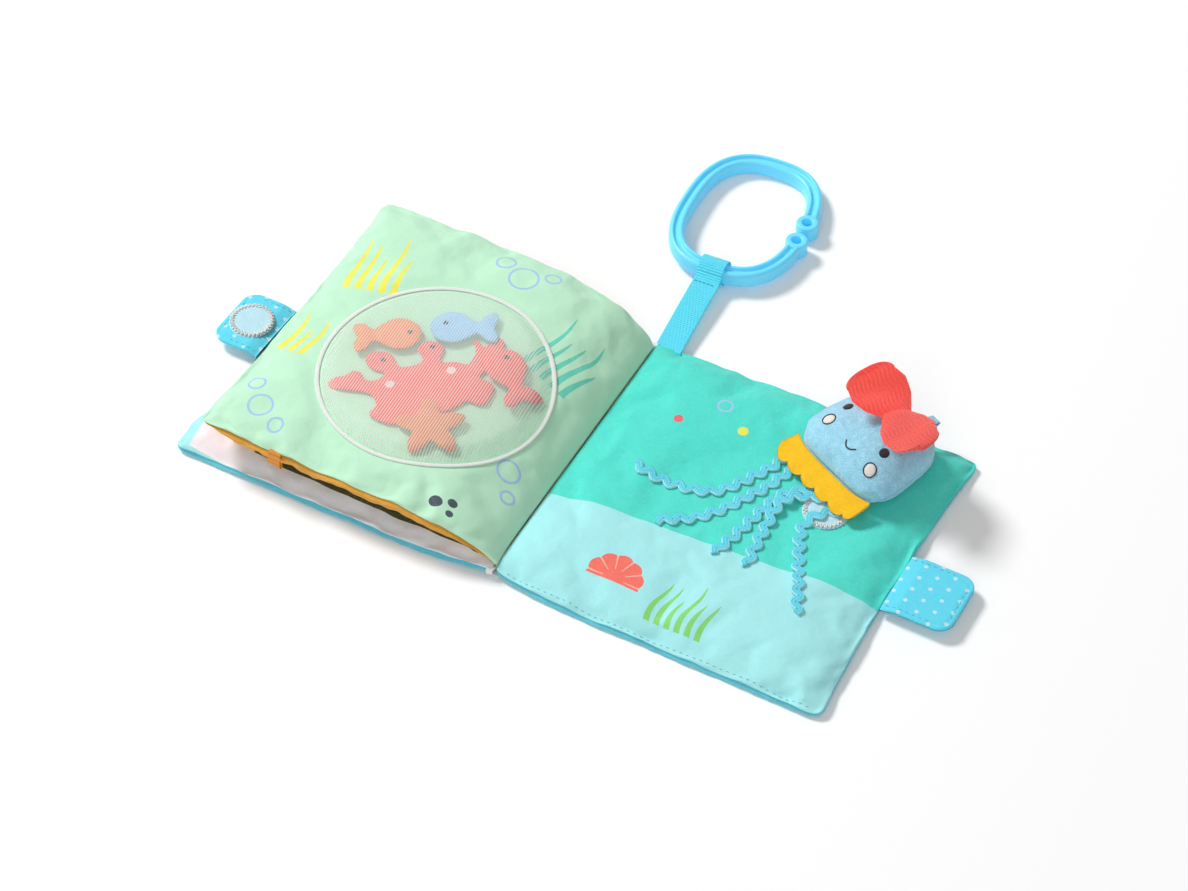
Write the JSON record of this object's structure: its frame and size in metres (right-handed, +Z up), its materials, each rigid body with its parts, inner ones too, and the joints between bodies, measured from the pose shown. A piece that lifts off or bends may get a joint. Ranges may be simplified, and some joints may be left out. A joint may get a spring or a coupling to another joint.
{
  "type": "crinkle cloth book",
  "caption": "Soft cloth book lying open, with a puffed page, a mesh pocket of loose felt shapes, closing tabs, a detachable plush toy and a ribbon with a link ring.",
  "frame": {"origin": "middle of the spine tape's underside, on the table", "axes": "+X towards the right cover's outer edge, +Y along the spine towards the ribbon, +Z up"},
  "size_m": [0.3489, 0.2736, 0.0465],
  "materials": {
    "page_print": "mint printed cloth",
    "page_back": "ochre cloth",
    "left_print": "pale aqua cloth with a pink band",
    "right_print": "teal and aqua cloth in two fields",
    "outer_cloth": "aqua cloth",
    "crinkle_film": "clear crinkle film",
    "wadding": "soft polyester wadding",
    "white_tape": "white woven tape",
    "border_cord": "off-white stitched cord",
    "net": "fine white net",
    "orange_felt": "orange felt",
    "blue_felt": "light-blue felt",
    "coral_felt": "coral felt",
    "brown_felt": "orange-brown felt",
    "dotted_cloth": "cyan cloth with white dots",
    "fastener": "hook and loop tape",
    "orange_tape": "orange woven tape",
    "ribbon": "turquoise grosgrain ribbon",
    "ring_plastic": "sky-blue glossy plastic",
    "plush": "light-blue short plush",
    "yellow_felt": "golden-yellow felt",
    "fin_cloth": "coral embossed cloth",
    "loop_tape": "light-blue tape",
    "rickrack": "blue rickrack braid"
  },
  "bodies": {
    "page": {"page_front_panel": "page_print", "page_back_panel": "page_back", "page_crinkle_film": "crinkle_film", "page_wadding": "wadding", "spine_tape": "white_tape", "spine_seam_strip": "white_tape", "window_border": "border_cord", "window_net": "net"},
    "left_cover": {"left_cover_inner_panel": "left_print", "left_cover_outer_panel": "outer_cloth", "left_cover_crinkle_film": "crinkle_film", "left_cover_wadding": "wadding"},
    "right_cover": {"right_cover_inner_panel": "right_print", "right_cover_outer_panel": "outer_cloth", "right_cover_crinkle_film": "crinkle_film", "right_cover_wadding": "wadding", "right_cover_fastener": "fastener"},
    "left_tab": {"left_tab": "dotted_cloth", "left_tab_fastener": "fastener"},
    "right_tab": {"right_tab": "dotted_cloth", "right_tab_fastener": "fastener"},
    "ribbon": {"ribbon": "ribbon"},
    "link_ring": {"link_ring": "ring_plastic"},
    "toy": {"toy_front": "plush", "toy_back": "plush", "toy_stuffing": "wadding", "toy_fastener": "fastener", "toy_hang_loop": "loop_tape", "toy_tentacle_1": "rickrack", "toy_tentacle_2": "rickrack", "toy_tentacle_3": "rickrack", "toy_tentacle_4": "rickrack", "toy_tentacle_5": "rickrack"},
    "left_fin": {"toy_left_fin": "fin_cloth"},
    "right_fin": {"toy_right_fin": "fin_cloth"},
    "skirt": {"toy_skirt": "yellow_felt"},
    "orange_fish": {"felt_orange_fish": "orange_felt"},
    "blue_fish": {"felt_blue_fish": "blue_felt"},
    "crab": {"felt_crab": "coral_felt"},
    "coral_fish": {"felt_coral_fish": "coral_felt"},
    "starfish": {"felt_starfish": "brown_felt"},
    "tag": {"page_tag": "orange_tape"}
  },
  "joints": [
    {"name": "left_cover_hinge", "type": "hinge", "parent": "page", "child": "left_cover", "pos_m": [0, 0, 0], "axis": [0, -1, 0], "range_deg": [0, 170]},
    {"name": "right_cover_hinge", "type": "hinge", "parent": "page", "child": "right_cover", "pos_m": [0, 0, 0.0095], "axis": [0, -1, 0], "range_deg": [0, 130]},
    {"name": "left_tab_fold", "type": "hinge", "parent": "left_cover", "child": "left_tab", "pos_m": [-0.1475, -0.002, 0.0049], "axis": [0, 1, 0], "range_deg": [0, 100]},
    {"name": "right_tab_fold", "type": "hinge", "parent": "right_cover", "child": "right_tab", "pos_m": [0.1475, 0.0015, 0.0049], "axis": [0, -1, 0], "range_deg": [0, 135]},
    {"name": "ribbon_seam", "type": "hinge", "parent": "right_cover", "child": "ribbon", "pos_m": [0.00494, 0.07355, 0.0036], "axis": [0.9973, 0.0734, 0], "range_deg": [-60, 80]},
    {"name": "ring_in_loop", "type": "hinge", "parent": "ribbon", "child": "link_ring", "pos_m": [0.0014, 0.12096, 0.0062], "axis": [-0.9976, -0.0698, 0], "range_deg": [-75, 75]},
    {"name": "toy_release", "type": "slide", "parent": "right_cover", "child": "toy", "axis": [0.9063, 0, 0.4226], "range_m": [0, 0.06]},
    {"name": "left_fin_flap", "type": "hinge", "parent": "toy", "child": "left_fin", "pos_m": [0.11798, 0.06311, 0.0301], "axis": [0.4085, 0.8565, -0.3155], "range_deg": [0, 50]},
    {"name": "right_fin_flap", "type": "hinge", "parent": "toy", "child": "right_fin", "pos_m": [0.12015, 0.06207, 0.0301], "axis": [-0.4085, -0.8565, 0.3155], "range_deg": [0, 50]},
    {"name": "skirt_lift", "type": "hinge", "parent": "toy", "child": "skirt", "pos_m": [0.10088, 0.0326, 0.0164], "axis": [-0.9026, 0.4305, 0], "range_deg": [0, 90]},
    {"name": "orange_fish_shift", "type": "slide", "parent": "page", "child": "orange_fish", "axis": [1, 0, 0], "range_m": [0, 0.004]},
    {"name": "blue_fish_shift", "type": "slide", "parent": "page", "child": "blue_fish", "axis": [0, 1, 0], "range_m": [-0.002, 0.002]},
    {"name": "crab_shift", "type": "slide", "parent": "page", "child": "crab", "axis": [0, -1, 0], "range_m": [-0.001, 0.002]},
    {"name": "coral_fish_shift", "type": "slide", "parent": "page", "child": "coral_fish", "axis": [0, 1, 0], "range_m": [0, 0.002]},
    {"name": "starfish_shift", "type": "slide", "parent": "page", "child": "starfish", "axis": [0, 1, 0], "range_m": [0, 0.004]},
    {"name": "tag_flap", "type": "hinge", "parent": "page", "child": "tag", "pos_m": [-0.102, -0.0738, 0.0234], "axis": [1, 0, 0], "range_deg": [-80, 12]}
  ]
}
